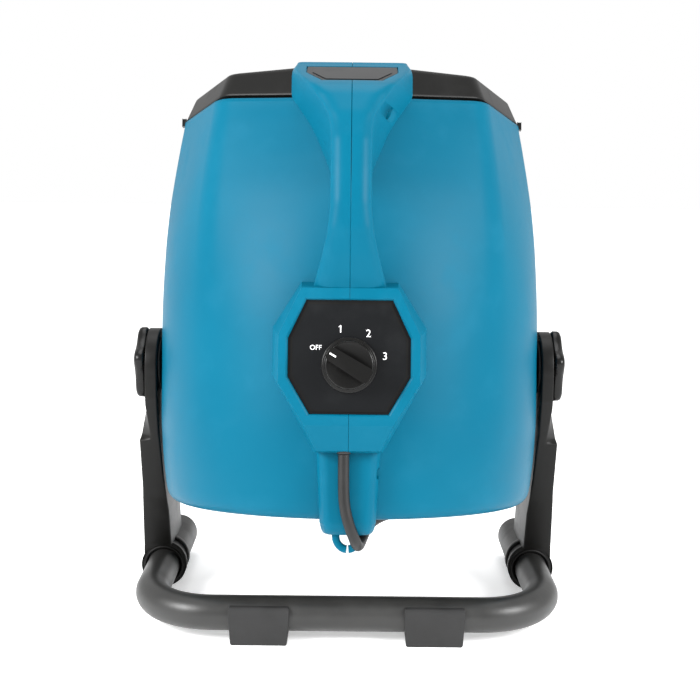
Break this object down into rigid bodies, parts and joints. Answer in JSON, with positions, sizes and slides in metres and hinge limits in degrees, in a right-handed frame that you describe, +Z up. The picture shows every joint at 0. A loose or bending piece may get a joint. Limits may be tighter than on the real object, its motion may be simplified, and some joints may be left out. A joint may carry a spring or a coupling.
{
  "type": "axial air mover",
  "caption": "portable axial fan: octagonal-round drum with carry handle and rotary speed switch, clamped by two knobs in a U-shaped tube stand",
  "frame": {"origin": "middle of the footprint on the floor, measured without the cord", "axes": "+X to the right seen from the control side, +Y away from the control side, +Z up"},
  "size_m": [0.3274, 0.3426, 0.4037],
  "materials": {
    "blue_plastic": "fine-grained moulded polypropylene",
    "black_plastic": "fine-grained moulded plastic",
    "gloss_black": "smooth black label panel",
    "black_tube": "semi-matt black powder coat",
    "rubber": "dull grey-black rubber",
    "steel": "bright zinc-plated steel",
    "motor_metal": "dark painted motor casing",
    "aluminium": "cast aluminium",
    "laminations": "laminated core",
    "cord_black": "black PVC cord jacket",
    "brass": "nickel brass blades"
  },
  "bodies": {
    "stand": {"base_tube": "black_tube", "arm_left": "black_plastic", "arm_right": "black_plastic", "front_foot_left": "rubber", "front_foot_right": "rubber", "rear_foot_left": "rubber", "rear_foot_right": "rubber"},
    "head": {"drum_shell": "blue_plastic", "front_ring": "black_plastic", "front_guard": "black_plastic", "guard_badge": "gloss_black", "rear_guard": "black_plastic", "front_ring_screws": "steel", "ring_clips": "black_plastic", "handle_shell_left": "blue_plastic", "handle_shell_right": "blue_plastic", "handle_insert": "gloss_black", "handle_screws": "steel", "control_panel": "gloss_black", "rotary_switch": "black_plastic", "capacitor": "black_plastic", "strain_relief": "rubber", "motor_housing": "motor_metal", "motor_end_cap": "aluminium", "stator": "laminations", "front_bearing": "steel", "rear_bearing": "steel", "motor_mount": "aluminium", "pivot_bush_left": "steel", "pivot_bush_right": "steel", "friction_washer_left": "rubber", "friction_washer_right": "rubber", "cord_run": "cord_black", "cord_coil": "cord_black", "cord_tail": "cord_black", "cord_plug": "rubber", "plug_blades": "brass", "coil_ties": "black_plastic"},
    "impeller": {"impeller": "black_plastic", "motor_shaft": "steel", "rotor_core": "laminations", "hub_nut": "steel"},
    "speed_knob": {"speed_knob": "black_plastic"},
    "clamp_left": {"clamp_knob_left": "black_plastic", "clamp_bolt_left": "steel"},
    "clamp_right": {"clamp_knob_right": "black_plastic", "clamp_bolt_right": "steel"}
  },
  "joints": [
    {"name": "head_tilt", "type": "hinge", "parent": "stand", "child": "head", "pos_m": [0, 0.01605, 0.184], "axis": [-1, 0, 0], "range_deg": [-20, 95]},
    {"name": "impeller_spin", "type": "hinge", "parent": "head", "child": "impeller", "pos_m": [0, 0.01605, 0.184], "axis": [0, 0.1676, 0.9859], "continuous": true},
    {"name": "speed_dial", "type": "hinge", "parent": "head", "child": "speed_knob", "pos_m": [0, -0.15154, 0.2125], "axis": [0, 0.9859, -0.1676], "range_deg": [0, 135]},
    {"name": "clamp_left_turn", "type": "hinge", "parent": "head", "child": "clamp_left", "pos_m": [-0.157, 0.01605, 0.184], "axis": [-1, 0, 0], "range_deg": [0, 360]},
    {"name": "clamp_right_turn", "type": "hinge", "parent": "head", "child": "clamp_right", "pos_m": [0.157, 0.01605, 0.184], "axis": [1, 0, 0], "range_deg": [0, 360]}
  ]
}
